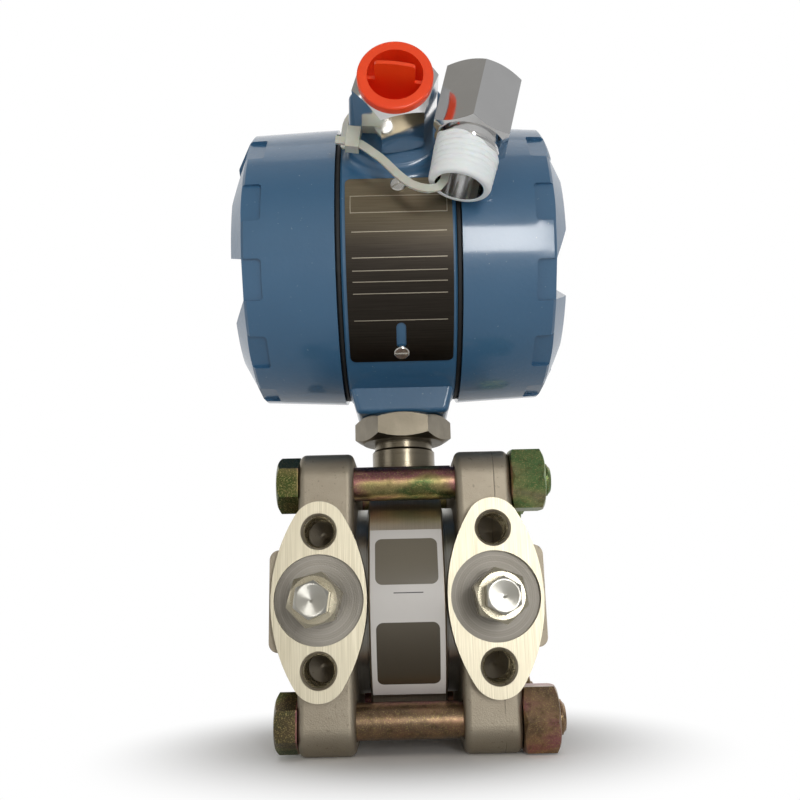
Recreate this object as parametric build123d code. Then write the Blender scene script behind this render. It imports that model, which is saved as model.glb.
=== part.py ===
from build123d import *
import math
import os

os.makedirs("parts", exist_ok=True)

# All sizes in mm. X runs along the housing (low side -X, high side +X), -Y is
# the front, +Z is up. The parts are drawn about the middle of the sensor
# module and moved back at the end, so that the origin lies in the middle of
# the front pattern of tapped holes.

# ---------------------------------------------------------------- process side
face_half = 43.0             # module middle to the oval faces, front and rear
port_x = 27.0                # process port from the middle, half of 54 mm
tap_z = 20.65                # tapped holes above and below a port, half of 41.3 mm
tap_radius = 5.0             # 7/16-20 UNF at its minor diameter
tap_radius_rear = 4.87       # the same thread at the lower end of its minor diameter
tap_depth = 16.0
tap_chamfer = 0.7
oval_half_width = 14.65
oval_half_height = 30.0
oval_end_radius = 8.5
oval_depth = 9.0             # thickness of the oval pads
recess_radius = 13.7         # turned recess round a process port
recess_depth = 1.6
npt_quarter_radius = 6.25    # 1/4-18 NPT at its pitch diameter
npt_quarter_depth = 15.0
passage_radius = 3.5         # pressure passages behind the ports
flange_inner = 16.4          # inner faces of the flanges, from the middle
flange_outer = 34.1          # outer faces of the flanges
flange_half_height = 46.85
ear_step = 4.8               # ovals stand this far in front of the ears
ear_face = face_half - ear_step
ear_corner = 9.0
ear_round = 2.2
hub_outer = 42.8             # cross bar behind the ovals, outer side
hub_half_height = 15.5
hub_round = 3.0
chamber_radius = 25.5        # pressure chamber in the inner face of a flange
chamber_depth = 1.2
gasket_inner = 26.6
gasket_outer = 30.0
gasket_groove = 1.6

# flange bolts, 7/16 in
bolt_y = 30.0
bolt_z = 36.8
bolt_radius = 5.55
bolt_thread_radius = 5.2
bolt_thread_start = 15.0
bolt_end = 47.6
bolt_hole_radius = 6.0
bolt_head_flats = 15.9
bolt_head_height = 7.1
nut_flats = 19.05
nut_height = 11.1
hex_crown = 0.95             # flat end of a hexagon, share of its width across flats

# sensor module
band_radius = 40.0
band_half = 12.0
band_edge = 0.5
groove_radius = 30.3
groove_width = 1.0
step_radius = 31.3
diaphragm_radius = 24.0
diaphragm_sheet = 0.4
diaphragm_recess = 1.5
ripple_pitch = 6.0           # rings of the corrugated diaphragm
ripple_height = 0.5
cell_radius = 11.0
cell_half = 7.0
cell_clearance = 0.2
capillary_radius = 0.8
neck_radius = 11.33
neck_top = 52.8
neck_edge = 1.0
relief_radius = 10.45
relief_top = 55.2
stem_thread_radius = 10.0    # thread that carries the housing
stem_top = 80.0
stem_bore = 3.0
header_radius = 7.5
header_height = 5.0
header_pin_radius = 0.5
header_pin_count = 6
header_pin_circle = 4.5
header_pin_length = 3.0
label_thickness = 0.2
label_half_width = 11.4
label_top_angle = 32.0       # measured from the front, up is positive
label_bottom_angle = -47.0

# vent valves
vent_seat_flats = 14.3
vent_seat_start = face_half + 4.6    # distances from the module middle, along -Y
vent_seat_face = face_half + 15.7
vent_seat_inner = face_half - 10.0
vent_stem_flats = 9.5
vent_stem_start = face_half + 16.6
vent_stem_face = face_half + 22.7
vent_stem_radius = 3.0
vent_tip_gap = 0.5           # stem bore runs this far past the tip of the stem
vent_clearance = 0.05
vent_bore = 2.7
vent_cone = face_half - 6.8   # where the seat cone begins
vent_orifice = 1.2
vent_ball_radius = 2.4
vent_dimple = 0.35           # turned cone in the face of the stem

# lock nut
lock_flats = 30.5
lock_bottom = 55.3
lock_top = 64.7
lock_clearance = 0.05

# --------------------------------------------------------------- housing side
axis_z = 124.0               # axis of the two covers
barrel_radius = 47.0         # threaded barrels, both sides
housing_radius = barrel_radius + 4.75
shoulder = 19.05             # shoulders that the covers screw against
shoulder_edge = 0.6
barrel_end = 36.0
barrel_edge = 1.2
cavity_radius = barrel_radius - 5.0
wall_half = 2.0              # wall between the two compartments
deep_wall = 12.0             # wall round the conduit bores and round the neck
terminal_floor = 106.0       # right compartment is shallow below this height
wire_hole_radius = 6.0
pad_half_depth = 12.5        # foot of the casting, front and rear faces
pad_half_width = 16.3
pad_flare_z = 75.0
pad_edge = 2.0
neck_bore_top = 90.0
boss_z = 156.0               # axis of the conduit bosses
boss_radius = 19.0
boss_face = housing_radius + 1.25
boss_half_width = 15.9       # flats on the sides of the conduit bosses
boss_corner = 2.0            # rounding along the flats
boss_round = 3.0
boss_blend = 2.5             # cast blend between a boss and the drum
npt_half_radius = 9.9        # 1/2-14 NPT at its pitch diameter
npt_half_depth = 20.0
conduit_radius = 9.0
conduit_inner = 20.0

# covers
cover_edge = 20.95           # inner edge of a cover, from the middle
cover_radius = barrel_radius + 5.0
cover_end_radius = cover_radius - 1.4
cover_end = 52.0             # bottom of the driving slots
cover_lug_top = 57.15
cover_thread_gap = 0.3       # between a barrel and the bore of its cover
cover_bore_radius = barrel_radius + cover_thread_gap
cover_wall = 4.0
cover_rim_edge = 1.0
lug_foot_radius = cover_end_radius - cover_rim_edge
lug_crest_radius = lug_foot_radius - 9.3
lug_round = 2.2
lug_hub_radius = 20.0        # round recess in the middle of the lugs
slot_count = 6
slot_width = 13.5
slot_ramp = 9.0
slot_angle_right = 27.0
slot_angle_left = 35.4
notch_count = 12
notch_width = 13.8
notch_start = 45.4
notch_depth = 1.8
notch_round = 1.2
ring_gap = 0.1               # between a barrel and its ring
ring_inner = barrel_radius + ring_gap
ring_outer = ring_inner + 3.5

# nameplate on the front of the casting
plate_thickness = 0.6
plate_middle_x = 0.2
plate_width = 35.2
plate_top_angle = 13.0
plate_bottom_angle = -58.6
plate_corner = 2.0
plate_slot_width = 3.3
plate_slot_top_angle = -41.5
plate_slot_bottom_angle = -52.5
plate_screw_top_angle = 9.6
plate_screw_bottom_angle = -53.9
plate_screw_head = 2.6
plate_screw_height = 1.1
plate_screw_radius = 1.5
plate_screw_length = 5.0
plate_screw_turns = (35.0, 0.0)
screw_slot_width = 0.7
screw_slot_depth = 0.5

# inside the compartments
block_radius = cavity_radius - 9.0
block_thickness = 8.0
block_plug_radius = 5.9
block_screw_circle = block_radius - 2.2
block_screw_angle = 54.25    # below the level of the cover axis
block_screw_y = block_screw_circle * math.cos(math.radians(block_screw_angle))
block_screw_z = axis_z - block_screw_circle * math.sin(math.radians(block_screw_angle))
block_screw_radius = 2.0
block_screw_head = 3.5
block_screw_height = 2.2
block_screw_grip = 6.0
bar_length = 50.0
bar_height = 18.0
bar_depth = 7.0
bar_rib = 2.0
terminal_pitch = 16.0
terminal_head_radius = 4.0
terminal_head_height = 2.6
terminal_screw_radius = 1.75
terminal_screw_length = 9.0
board_radius = cavity_radius - 6.0
board_thickness = 1.6
calibration_board_x = 14.0
amplifier_board_x = 24.0
post_radius = 3.0
post_stud_radius = 1.5
post_circle = board_radius - 7.0
post_angle = 24.4            # upper posts above the level of the cover axis
post_y = post_circle * math.cos(math.radians(post_angle))
post_upper_z = axis_z + post_circle * math.sin(math.radians(post_angle))
post_lower_z = axis_z - post_circle
post_room = 3.0              # between a post and the ceiling above it
electronics_ceiling = post_upper_z + post_radius + post_room   # the left compartment is shallow above it
post_head = 2.6
transformer_size = (8.0, 14.0, 14.0)
transformer_place = (9.0, 8.0)       # y and z from the axis of the covers
processor_size = (2.0, 16.0, 16.0)
processor_place = (-10.0, 4.0)
connector_size = (6.0, 16.0, 5.0)
connector_place = (10.0, -20.0)
capacitor_radius = 4.0
capacitor_height = 7.0
capacitor_place = (-6.0, -18.0)

# conduit adapters and what hangs on them
adapter_flats = 24.0
adapter_hex_length = 22.6
adapter_turn = 10.0          # the fixed adapter stopped at this angle
adapter_relief_radius = 8.75
adapter_relief = 1.8
adapter_male_length = 14.0
adapter_male_edge = 1.2
adapter_bore_radius = 9.8
adapter_bore_depth = 15.0
adapter_through_radius = 7.7
tape_thickness = 0.85        # several turns, at the hexagon
tape_end_thickness = 0.15    # at the mouth and over the end face
tape_end_radius = 7.9        # inner edge of the tape folded over the end face
plug_ring_radius = 11.85
plug_ring_height = 2.8
plug_clearance = 0.05
plug_inner_radius = 8.7
plug_depth = 12.0
plug_floor = 1.5
plug_web = 1.1
plug_turn = 8.0
plug_tab_width = 12.4
plug_tab_height = 5.0        # at its sides, above the ring
plug_tab_crown = 0.7         # its edge rises this much more in the middle
plug_tab_corner = 1.2
# the loose adapter and the tie are placed from the face of the front boss
hang_mouth = (19.3, -11.4, -30.8)    # lower end of the loose adapter
hang_top = (29.9, -10.4, 11.2)       # a point on its axis near the top
hang_turn = 30.0
tie_width = 2.6
tie_thickness = 1.0
tie_head = (-14.2, -3.0, -8.6)
tie_head_size = (4.4, 4.4, 7.4)
tie_head_lean = 8.0
tie_tail = 3.6
tie_tail_drop = 0.8
tie_steps = 60               # short straight lengths that follow the tie's path
tie_path = [                         # through the loose adapter and back round the boss
    (-14.2, -3.4, -9.6),
    (-11.4, -4.0, -11.2),
    (-8.4, -5.2, -14.2),
    (-4.9, -6.4, -17.8),
    (-1.0, -7.7, -22.8),
    (2.8, -9.4, -27.4),
    (5.6, -10.3, -29.7),
    (9.0, -11.0, -31.0),
    (12.0, -11.3, -31.2),
    (14.4, -11.2, -29.0),
    (15.6, -11.0, -24.0),
    (18.6, -10.6, -12.0),
    (23.0, -9.8, 0.0),
    (27.2, -9.1, 8.0),
    (28.1, -8.6, 12.0),
    (27.2, -5.0, 14.6),
    (24.6, 1.4, 14.6),
    (21.2, 9.0, 14.6),
    (16.2, 17.0, 16.8),
    (9.4, 22.4, 20.2),
    (2.0, 23.6, 21.5),
    (-5.6, 23.4, 21.0),
    (-12.8, 21.6, 18.2),
    (-17.2, 17.6, 11.2),
    (-17.8, 13.6, 5.0),
    (-17.8, 9.0, -0.6),
    (-17.6, 5.0, -5.6),
    (-17.1, 1.6, -8.2),
    (-14.8, -2.0, -8.6),
]

# ------------------------------------------------------------------- helpers
ON_BASE = (Align.CENTER, Align.CENTER, Align.MIN)
ALONG_X = (1, 0, 0)
ALONG_Y = (0, 1, 0)
ALONG_Z = (0, 0, 1)
TO_LEFT = (-1, 0, 0)
TO_FRONT = (0, -1, 0)
EXTRA = 1.0                  # how far cutting shapes run past a face


def rod(radius, start, length, direction):
    """Cylinder from a start point along a direction."""
    return Plane(origin=start, z_dir=direction) * Cylinder(radius, length, align=ON_BASE)


def turned(points):
    """Solid turned about Z from an outline of (radius, height) points."""
    outline = Polyline([(radius, 0, height) for radius, height in points], close=True)
    return revolve(make_face(outline), Axis.Z)


def hex_bar(across_flats, length, crown_low, crown_high):
    """Hexagon bar on Z, corners on X, with the chosen ends turned to a crown."""
    corner = across_flats / math.sqrt(3) + EXTRA
    face = hex_crown * across_flats / 2
    drop = (corner - face) * math.tan(math.radians(30))
    low = [(face, 0), (corner, drop)] if crown_low else [(corner, 0)]
    high = [(corner, length - drop), (face, length)] if crown_high else [(corner, length)]
    blank = turned([(0, 0)] + low + high + [(0, length)])
    prism = extrude(RegularPolygon(across_flats / 2, 6, major_radius=False), length)
    return prism & blank


def circle_edges(part, radius, axis, position):
    """Round edges of one radius that lie at one position along an axis."""
    edges = part.edges().filter_by(GeomType.CIRCLE)
    edges = edges.filter_by(lambda e: abs(e.radius - radius) < 0.01)
    return edges.filter_by_position(axis, position - 0.01, position + 0.01)


def front_point(radius, angle, x):
    """Point on a circle round the housing axis, angle from the front, up positive."""
    turn = math.radians(angle)
    return (x, -radius * math.cos(turn), axis_z + radius * math.sin(turn))


def front_plane(radius, angle, x):
    """Plane on that circle with its normal pointing outward and its Y upward."""
    turn = math.radians(angle)
    outward = (0, -math.cos(turn), math.sin(turn))
    return Plane(origin=front_point(radius, angle, x), x_dir=ALONG_X, z_dir=outward)


def curved_sheet(inner, thickness, centre_z, top, bottom, x_middle, width):
    """Sheet bent round the X axis, between two angles measured from the front."""
    outer = inner + thickness
    ends = []
    for radius in (inner, outer):
        for angle in (top, (top + bottom) / 2, bottom):
            turn = math.radians(angle)
            ends.append((-radius * math.cos(turn), centre_z + radius * math.sin(turn)))
    outline = [
        ThreePointArc(ends[0], ends[1], ends[2]),
        Line(ends[2], ends[5]),
        ThreePointArc(ends[5], ends[4], ends[3]),
        Line(ends[3], ends[0]),
    ]
    section = Plane.YZ.offset(x_middle - width / 2) * make_face(outline)
    return extrude(section, width)


def slotted_screw(head_radius, head_height, shank_radius, shank_length):
    """Cheese head screw on Z, seated at z 0, with a cross slot in the head."""
    head = Cylinder(head_radius, head_height, align=ON_BASE)
    head = chamfer(circle_edges(head, head_radius, Axis.Z, head_height), head_height / 4)
    shank = rod(shank_radius, (0, 0, -shank_length), shank_length, ALONG_Z)
    slot = Box(2 * head_radius + EXTRA, screw_slot_width, 2 * screw_slot_depth)
    return head + shank - Pos(0, 0, head_height) * slot


def export_part(shape, node):
    """Move a part so that the front pattern lies at the origin and save it."""
    export_step(Pos(0, face_half, 0) * shape, f"parts/{node}.step")


# ------------------------------------------------------------ process flanges
def oval(half_width, half_height, end_radius):
    """Oval of two end arcs joined by two long side arcs that touch them."""
    reach = half_height - end_radius
    side = (half_width**2 + reach**2 - end_radius**2) / (2 * (half_width - end_radius))
    touch_x = -(side - half_width) + side * (side - half_width) / (side - end_radius)
    touch_y = side * reach / (side - end_radius)
    return make_face([
        ThreePointArc((touch_x, touch_y), (0, half_height), (-touch_x, touch_y)),
        ThreePointArc((-touch_x, touch_y), (-half_width, 0), (-touch_x, -touch_y)),
        ThreePointArc((-touch_x, -touch_y), (0, -half_height), (touch_x, -touch_y)),
        ThreePointArc((touch_x, -touch_y), (half_width, 0), (touch_x, touch_y)),
    ])


def process_flange():
    """Cast flange on the high side, front and rear alike."""
    thickness = flange_outer - flange_inner
    section = RectangleRounded(2 * ear_face, 2 * flange_half_height, ear_corner)
    plate = extrude(Plane.YZ.offset(flange_inner) * section, thickness)
    rim = plate.edges().filter_by_position(Axis.X, flange_outer - 0.01, flange_outer + 0.01)
    rim += plate.edges().filter_by_position(Axis.X, flange_inner - 0.01, flange_inner + 0.01)
    plate = fillet(rim, ear_round)

    hub_width = hub_outer - flange_inner
    hub = Box(hub_width, 2 * ear_face, 2 * hub_half_height)
    hub = fillet(hub.edges().filter_by(Axis.Y).sort_by(Axis.X)[-2:], hub_round)
    part = plate + Pos(flange_inner + hub_width / 2, 0, 0) * hub

    for side in (-1, 1):
        # an oval pad with its recess, port and tapped holes, front and rear
        face = Plane(origin=(port_x, side * face_half, 0), x_dir=ALONG_X, z_dir=(0, side, 0))
        pad = extrude(oval(oval_half_width, oval_half_height, oval_end_radius), oval_depth)
        part += face * Pos(0, 0, -oval_depth) * pad
    for side in (-1, 1):
        face = Plane(origin=(port_x, side * face_half, 0), x_dir=ALONG_X, z_dir=(0, side, 0))
        recess = Pos(0, 0, -recess_depth) * Cylinder(recess_radius, recess_depth + EXTRA, align=ON_BASE)
        port_depth = recess_depth + npt_quarter_depth
        port = Pos(0, 0, -port_depth) * Cylinder(npt_quarter_radius, port_depth, align=ON_BASE)
        part -= face * (recess + port)
        radius = tap_radius if side < 0 else tap_radius_rear
        tap = turned([
            (0, -tap_depth - 0.6 * radius),
            (radius, -tap_depth),
            (radius, -tap_chamfer),
            (radius + tap_chamfer + EXTRA, EXTRA),
            (0, EXTRA),
        ])
        for height in (-tap_z, tap_z):
            part -= face * Pos(0, height, 0) * tap

    part -= rod(passage_radius, (port_x, -face_half + EXTRA, 0), 2 * face_half - 2 * EXTRA, ALONG_Y)
    part -= rod(passage_radius, (flange_inner - EXTRA, 0, 0), port_x - flange_inner + EXTRA, ALONG_X)
    part -= rod(chamber_radius, (flange_inner - EXTRA, 0, 0), chamber_depth + EXTRA, ALONG_X)
    groove = rod(gasket_outer, (flange_inner - EXTRA, 0, 0), gasket_groove + EXTRA, ALONG_X)
    groove -= rod(gasket_inner, (flange_inner - EXTRA, 0, 0), gasket_groove + EXTRA, ALONG_X)
    part -= groove
    for y in (-bolt_y, bolt_y):
        for z in (-bolt_z, bolt_z):
            part -= rod(bolt_hole_radius, (flange_inner - EXTRA, y, z), thickness + 2 * EXTRA, ALONG_X)
    return part


flange_high = process_flange()
export_part(flange_high, "flange_high")
export_part(mirror(flange_high, Plane.YZ), "flange_low")

gasket_high = rod(gasket_outer, (flange_inner, 0, 0), gasket_groove, ALONG_X)
gasket_high -= rod(gasket_inner, (flange_inner, 0, 0), gasket_groove, ALONG_X)
export_part(gasket_high, "gasket_high")
export_part(mirror(gasket_high, Plane.YZ), "gasket_low")

# the four bolts run from the low side to nuts on the high side
bolts = Part()
nuts = Part()
for y in (-bolt_y, bolt_y):
    for z in (-bolt_z, bolt_z):
        head = hex_bar(bolt_head_flats, bolt_head_height, False, True)
        bolt = Plane(origin=(-flange_outer, y, z), z_dir=TO_LEFT) * head
        bolt += rod(bolt_radius, (-flange_outer, y, z), flange_outer + bolt_thread_start, ALONG_X)
        end_edge = bolt_radius / 5
        thread = rod(bolt_thread_radius, (bolt_thread_start, y, z), bolt_end - bolt_thread_start, ALONG_X)
        thread = chamfer(circle_edges(thread, bolt_thread_radius, Axis.X, bolt_end), end_edge)
        bolts += bolt + thread
        nut = Rot(0, 0, 30) * hex_bar(nut_flats, nut_height, True, True)
        nut = Plane(origin=(flange_outer, y, z), z_dir=ALONG_X) * nut
        nuts += nut - rod(bolt_thread_radius, (flange_outer - EXTRA, y, z), nut_height + 2 * EXTRA, ALONG_X)
export_part(bolts, "flange_bolts")
export_part(nuts, "flange_nuts")

# -------------------------------------------------------------- sensor module
groove_end = band_half + groove_width
floor_x = flange_inner - diaphragm_recess
half_profile = [
    (0, 0),
    (band_radius, 0),
    (band_radius, band_half - band_edge),
    (band_radius - band_edge, band_half),
    (groove_radius, band_half),
    (groove_radius, groove_end),
    (step_radius, groove_end),
    (step_radius, flange_inner),
    (diaphragm_radius + diaphragm_sheet, flange_inner),
    (diaphragm_radius + diaphragm_sheet, floor_x),
    (0, floor_x),
]
module_half = Plane.YZ * turned(half_profile)
module = module_half + mirror(module_half, Plane.YZ)
neck = rod(neck_radius, (0, 0, 0), neck_top, ALONG_Z)
neck = chamfer(circle_edges(neck, neck_radius, Axis.Z, neck_top), neck_edge)
module += neck
module += rod(relief_radius, (0, 0, 0), relief_top, ALONG_Z)
stem = rod(stem_thread_radius, (0, 0, 0), stem_top, ALONG_Z)
module += chamfer(circle_edges(stem, stem_thread_radius, Axis.Z, stem_top), neck_edge)
cell_room_radius = cell_radius + cell_clearance
cell_room_half = cell_half + cell_clearance
module -= rod(cell_room_radius, (-cell_room_half, 0, 0), 2 * cell_room_half, ALONG_X)
module -= rod(capillary_radius, (-flange_inner, 0, 0), 2 * flange_inner, ALONG_X)
module -= rod(stem_bore, (0, 0, 0), stem_top + EXTRA, ALONG_Z)
export_part(module, "sensor_module")

cell = rod(cell_radius, (-cell_half, 0, 0), 2 * cell_half, ALONG_X)
rims = circle_edges(cell, cell_radius, Axis.X, cell_half) + circle_edges(cell, cell_radius, Axis.X, -cell_half)
cell = chamfer(rims, band_edge)
cell += rod(stem_bore / 2, (0, 0, 0), cell_radius + stem_bore, ALONG_Z)
export_part(cell, "sensor_cell")

# corrugated diaphragm: rings of equal pitch in a thin sheet, welded by its rim
ripple_points = []
ring_count = int(diaphragm_radius / ripple_pitch)
for ring in range(ring_count):
    base = ring * ripple_pitch
    ripple_points += [
        (base, 0),
        (base + ripple_pitch / 4, ripple_height / 2),
        (base + ripple_pitch / 2, 0),
        (base + 3 * ripple_pitch / 4, -ripple_height / 2),
    ]
sheet_top = [(radius, height + diaphragm_sheet) for radius, height in reversed(ripple_points)]
diaphragm_rim = [
    (diaphragm_radius - diaphragm_sheet, 0),
    (diaphragm_radius - diaphragm_sheet, -ripple_height),
    (diaphragm_radius + diaphragm_sheet, -ripple_height),
    (diaphragm_radius + diaphragm_sheet, diaphragm_sheet),
]
diaphragm = turned(ripple_points + diaphragm_rim + sheet_top)
diaphragm_high = Plane.YZ.offset(floor_x + ripple_height) * diaphragm
export_part(diaphragm_high, "diaphragm_high")
export_part(mirror(diaphragm_high, Plane.YZ), "diaphragm_low")

label = curved_sheet(
    band_radius, label_thickness, 0, label_top_angle, label_bottom_angle, 0, 2 * label_half_width
)
export_part(label, "module_label")

header = rod(header_radius, (0, 0, stem_top), header_height, ALONG_Z)
header += rod(stem_bore - vent_clearance, (0, 0, stem_top - 2 * header_height), 2 * header_height, ALONG_Z)
for index in range(header_pin_count):
    turn = math.radians(360 / header_pin_count * index)
    x = header_pin_circle * math.cos(turn)
    y = header_pin_circle * math.sin(turn)
    header += rod(header_pin_radius, (x, y, stem_top + header_height), header_pin_length, ALONG_Z)
export_part(header, "sensor_header")

# ---------------------------------------------------------------- vent valves
# the ball touches the 45 degree cone of the seat, the stem touches the ball
ball_y = vent_cone + vent_ball_radius * math.sqrt(2) - vent_orifice
stem_tip = ball_y + vent_ball_radius
for name, x, seat_turn, stem_turn in (("low", -port_x, 14.0, 22.0), ("high", port_x, -20.0, 30.0)):
    seat_plane = Plane(origin=(x, -vent_seat_start, 0), x_dir=ALONG_X, z_dir=TO_FRONT)
    seat_hex = hex_bar(vent_seat_flats, vent_seat_face - vent_seat_start, False, True)
    seat = seat_plane * Rot(0, 0, seat_turn) * seat_hex
    seat += rod(npt_quarter_radius, (x, -vent_seat_start, 0), vent_seat_start - vent_seat_inner, ALONG_Y)
    bore_end = stem_tip - vent_tip_gap
    bore_length = vent_seat_face + EXTRA - bore_end
    seat -= rod(vent_stem_radius + vent_clearance, (x, -vent_seat_face - EXTRA, 0), bore_length, ALONG_Y)
    seat_bore = turned([
        (0, -EXTRA),
        (vent_orifice, -EXTRA),
        (vent_orifice, vent_cone - vent_seat_inner),
        (vent_bore, vent_cone - vent_seat_inner + vent_bore - vent_orifice),
        (vent_bore, bore_end - vent_seat_inner),
        (0, bore_end - vent_seat_inner),
    ])
    inner_plane = Plane(origin=(x, -vent_seat_inner, 0), x_dir=ALONG_X, z_dir=TO_FRONT)
    seat -= inner_plane * seat_bore
    # bleed hole from the ball chamber to a lower flat of the hexagon
    seat -= rod(vent_orifice / 2, (x, -vent_seat_start - 3 * vent_orifice, 0), vent_seat_flats, (0, 0, -1))
    export_part(seat, f"vent_seat_{name}")

    export_part(Pos(x, -ball_y, 0) * Sphere(vent_ball_radius), f"vent_ball_{name}")

    stem_plane = Plane(origin=(x, -vent_stem_start, 0), x_dir=ALONG_X, z_dir=TO_FRONT)
    stem_hex = hex_bar(vent_stem_flats, vent_stem_face - vent_stem_start, False, True)
    dimple = Pos(0, 0, vent_stem_face - vent_stem_start) * turned([
        (0, -vent_dimple),
        (hex_crown * vent_stem_flats / 2 - vent_dimple, 0),
        (hex_crown * vent_stem_flats / 2 - vent_dimple, EXTRA),
        (0, EXTRA),
    ])
    vent_stem = stem_plane * Rot(0, 0, stem_turn) * (stem_hex - dimple)
    vent_stem += rod(vent_stem_radius, (x, -vent_stem_start, 0), vent_stem_start - stem_tip, ALONG_Y)
    export_part(vent_stem, f"vent_stem_{name}")

# ------------------------------------------------------------------- lock nut
lock_nut = Pos(0, 0, lock_bottom) * hex_bar(lock_flats, lock_top - lock_bottom, True, True)
lock_nut -= rod(stem_thread_radius + lock_clearance, (0, 0, lock_bottom - EXTRA), lock_top, ALONG_Z)
export_part(lock_nut, "lock_nut")

# ----------------------------------------------------------- housing casting
drum = rod(housing_radius, (-shoulder, 0, axis_z), 2 * shoulder, ALONG_X)
drum_rims = circle_edges(drum, housing_radius, Axis.X, shoulder)
drum_rims += circle_edges(drum, housing_radius, Axis.X, -shoulder)
drum = chamfer(drum_rims, shoulder_edge)
foot = extrude(
    Plane.XZ.offset(-pad_half_depth) * make_face(Polyline([
        (-pad_half_width, lock_top),
        (pad_half_width, lock_top),
        (shoulder, pad_flare_z),
        (shoulder, axis_z - barrel_radius / 2),
        (-shoulder, axis_z - barrel_radius / 2),
        (-shoulder, pad_flare_z),
    ], close=True)),
    2 * pad_half_depth,
)
foot_edges = foot.edges().filter_by_position(Axis.Z, lock_top - 0.01, pad_flare_z - EXTRA)
foot = fillet(foot_edges, pad_edge)
boss_outline = Circle(boss_radius) & Rectangle(2 * boss_half_width, 2 * boss_radius)
boss_outline = fillet(boss_outline.vertices(), boss_corner)
bosses = extrude(Plane.XZ * Pos(0, boss_z, 0) * boss_outline, boss_face, both=True)
boss_rims = bosses.edges().filter_by_position(Axis.Y, boss_face - 0.01, boss_face + 0.01)
boss_rims += bosses.edges().filter_by_position(Axis.Y, -boss_face - 0.01, -boss_face + 0.01)
bosses = fillet(boss_rims, boss_round)
barrels = rod(barrel_radius, (-barrel_end, 0, axis_z), 2 * barrel_end, ALONG_X)
barrel_rims = circle_edges(barrels, barrel_radius, Axis.X, barrel_end)
barrel_rims += circle_edges(barrels, barrel_radius, Axis.X, -barrel_end)
barrels = chamfer(barrel_rims, barrel_edge)
housing = drum + foot + bosses
roots = housing.edges().filter_by(lambda e: e.center().Z > axis_z and all(
    abs(math.hypot((e @ share).Y, (e @ share).Z - axis_z) - housing_radius) < 0.01 and
    abs((e @ share).X) < boss_half_width + 0.01 for share in (0, 0.3, 0.7)
))
housing = fillet(roots, boss_blend) + barrels

# the two compartments, with the deeper parts kept clear of neck and conduits
far = 2 * cavity_radius
left_room = rod(cavity_radius, (-barrel_end - EXTRA, 0, axis_z), barrel_end + EXTRA - deep_wall, ALONG_X)
left_deep = rod(cavity_radius, (-deep_wall - EXTRA, 0, axis_z), deep_wall + EXTRA - wall_half, ALONG_X)
left_deep &= Pos(0, 0, electronics_ceiling - far) * Box(far, far, 2 * far)
right_room = rod(cavity_radius, (deep_wall, 0, axis_z), barrel_end + EXTRA - deep_wall, ALONG_X)
right_deep = rod(cavity_radius, (wall_half, 0, axis_z), deep_wall + EXTRA - wall_half, ALONG_X)
right_deep &= Pos(0, 0, terminal_floor + far) * Box(far, far, 2 * far)
housing -= left_room
housing -= left_deep
housing -= right_room
housing -= right_deep
housing -= rod(wire_hole_radius, (-wall_half - EXTRA, 0, axis_z), 2 * wall_half + 2 * EXTRA, ALONG_X)

for side in (-1, 1):
    housing -= rod(npt_half_radius, (0, side * (boss_face + EXTRA), boss_z), npt_half_depth + EXTRA, (0, -side, 0))
    housing -= rod(conduit_radius, (0, side * boss_face, boss_z), boss_face - conduit_inner, (0, -side, 0))
neck_bore = stem_thread_radius + lock_clearance
housing -= rod(neck_bore, (0, 0, lock_top - EXTRA), neck_bore_top - lock_top + EXTRA, ALONG_Z)

screw_planes = [
    front_plane(housing_radius, plate_screw_top_angle, plate_middle_x),
    front_plane(housing_radius, plate_screw_bottom_angle, plate_middle_x),
]
for place in screw_planes:
    housing -= place * Pos(0, 0, -plate_screw_length) * Cylinder(
        plate_screw_radius, plate_screw_length + EXTRA, align=ON_BASE
    )
for y in (-block_screw_y, block_screw_y):
    grip_start = deep_wall - block_screw_grip
    housing -= rod(block_screw_radius, (grip_start, y, block_screw_z), block_screw_grip + EXTRA, ALONG_X)
post_spots = [(-post_y, post_upper_z), (post_y, post_upper_z), (0, post_lower_z)]
export_part(housing, "housing")

# ------------------------------------------------------------------ nameplate
plate = curved_sheet(
    housing_radius, plate_thickness, axis_z, plate_top_angle, plate_bottom_angle, plate_middle_x, plate_width
)
corners = plate.edges().filter_by(lambda e: abs(e.length - plate_thickness) < 0.01)
plate = fillet(corners, plate_corner)
for place in screw_planes:
    plate -= place * Cylinder(plate_screw_radius, 4 * plate_thickness)
slot_angle = (plate_slot_top_angle + plate_slot_bottom_angle) / 2
slot_length = housing_radius * math.radians(plate_slot_top_angle - plate_slot_bottom_angle)
slot = extrude(SlotOverall(slot_length, plate_slot_width, rotation=90), 4 * plate_thickness, both=True)
plate -= front_plane(housing_radius, slot_angle, plate_middle_x) * slot
export_part(plate, "nameplate")

plate_screw = slotted_screw(plate_screw_head, plate_screw_height, plate_screw_radius, plate_screw_length)
plate_screws = Part()
for place, turn in zip(screw_planes, plate_screw_turns):
    plate_screws += place * Pos(0, 0, plate_thickness) * Rot(0, 0, turn) * plate_screw
export_part(plate_screws, "nameplate_screws")

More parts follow.
